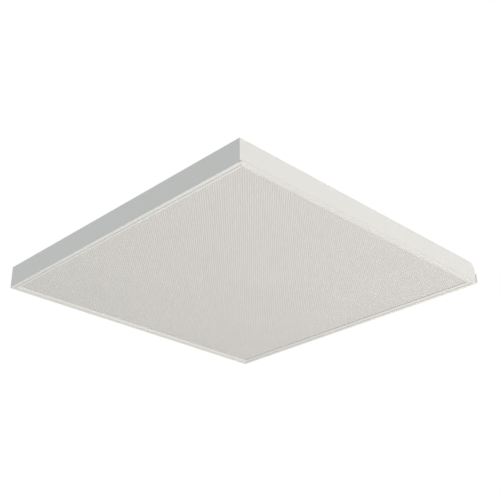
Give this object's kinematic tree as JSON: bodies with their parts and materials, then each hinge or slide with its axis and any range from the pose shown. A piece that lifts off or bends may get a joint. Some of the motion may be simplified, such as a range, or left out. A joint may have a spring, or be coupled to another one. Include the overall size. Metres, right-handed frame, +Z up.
{
  "type": "recessed troffer light",
  "caption": "Shallow square lay-in ceiling light: folded white steel housing, hinged frame with a prismatic lens, and light bars, driver and terminals inside.",
  "frame": {"origin": "centre of the underside, in the plane of the border that rests on the ceiling grid", "axes": "+Z up, towards the ceiling void; +X towards the door's hinges; -Y is the front end plate"},
  "size_m": [0.595, 0.595, 0.0415],
  "materials": {
    "white_powder_coat": "satin white powder coat",
    "zinc_steel": "bright zinc plate",
    "spring_steel": "bare spring steel",
    "prismatic_acrylic": "clear acrylic with a fine prism pattern",
    "clear_optic": "clear moulded optic",
    "led_board": "white solder mask on an aluminium board",
    "driver_white": "moulded white casing",
    "terminal_grey": "moulded nylon",
    "plug_white": "moulded nylon",
    "lever_blue": "moulded nylon",
    "black_rubber": "moulded rubber",
    "brass_tag": "bare brass",
    "wire_brown": "cable insulation",
    "wire_blue": "cable insulation",
    "wire_green": "green cable insulation with a yellow stripe",
    "wire_red": "cable insulation",
    "wire_black": "cable insulation"
  },
  "bodies": {
    "housing": {"housing_pan": "white_powder_coat", "ceiling_flange": "white_powder_coat", "end_plate_front": "white_powder_coat", "end_plate_back": "white_powder_coat", "plate_rivets": "zinc_steel", "driver_case": "driver_white", "driver_output_block": "terminal_grey", "driver_input_block": "terminal_grey", "driver_screws": "zinc_steel", "wireway_cover": "white_powder_coat", "cover_screws": "zinc_steel", "terminal_block": "terminal_grey", "terminal_screw": "zinc_steel", "cable_grommet": "black_rubber", "cord_clamp": "terminal_grey", "clamp_screws": "zinc_steel", "earth_tag": "brass_tag", "earth_screw": "zinc_steel", "wire_live": "wire_brown", "wire_neutral": "wire_blue", "wire_earth": "wire_green", "leads_red": "wire_red", "leads_black": "wire_black", "bar_plugs": "plug_white", "bar_screws": "zinc_steel", "bracket_rivets": "zinc_steel", "jaw_rivets": "zinc_steel", "led_bar_1": "led_board", "bar_optics_1": "clear_optic", "led_bar_2": "led_board", "bar_optics_2": "clear_optic", "led_bar_3": "led_board", "bar_optics_3": "clear_optic", "led_bar_4": "led_board", "bar_optics_4": "clear_optic", "hinge_bracket_1": "zinc_steel", "hinge_pin_1": "zinc_steel", "catch_jaw_1": "spring_steel", "hinge_bracket_2": "zinc_steel", "hinge_pin_2": "zinc_steel", "catch_jaw_2": "spring_steel"},
    "lens_door": {"corner_keys": "zinc_steel", "corner_rivets": "zinc_steel", "prismatic_lens": "prismatic_acrylic", "lens_clips": "spring_steel", "leaf_rivets": "zinc_steel", "tongue_rivets": "zinc_steel", "door_rail_front": "white_powder_coat", "door_rail_right": "white_powder_coat", "door_rail_back": "white_powder_coat", "door_rail_left": "white_powder_coat", "hinge_leaf_1": "zinc_steel", "catch_tongue_1": "zinc_steel", "hinge_leaf_2": "zinc_steel", "catch_tongue_2": "zinc_steel"},
    "lever_1": {"terminal_lever_1": "lever_blue"},
    "lever_2": {"terminal_lever_2": "lever_blue"},
    "lever_3": {"terminal_lever_3": "lever_blue"}
  },
  "joints": [
    {"name": "door_hinge", "type": "hinge", "parent": "housing", "child": "lens_door", "pos_m": [0.2755, 0, 0.013], "axis": [0, -1, 0], "range_deg": [0, 90]},
    {"name": "terminal_lever_1_turn", "type": "hinge", "parent": "housing", "child": "lever_1", "pos_m": [-0.008, 0.229, 0.0288], "axis": [1, 0, 0], "range_deg": [0, 85]},
    {"name": "terminal_lever_2_turn", "type": "hinge", "parent": "housing", "child": "lever_2", "pos_m": [0, 0.229, 0.0288], "axis": [1, 0, 0], "range_deg": [0, 85]},
    {"name": "terminal_lever_3_turn", "type": "hinge", "parent": "housing", "child": "lever_3", "pos_m": [0.008, 0.229, 0.0288], "axis": [1, 0, 0], "range_deg": [0, 85]}
  ]
}
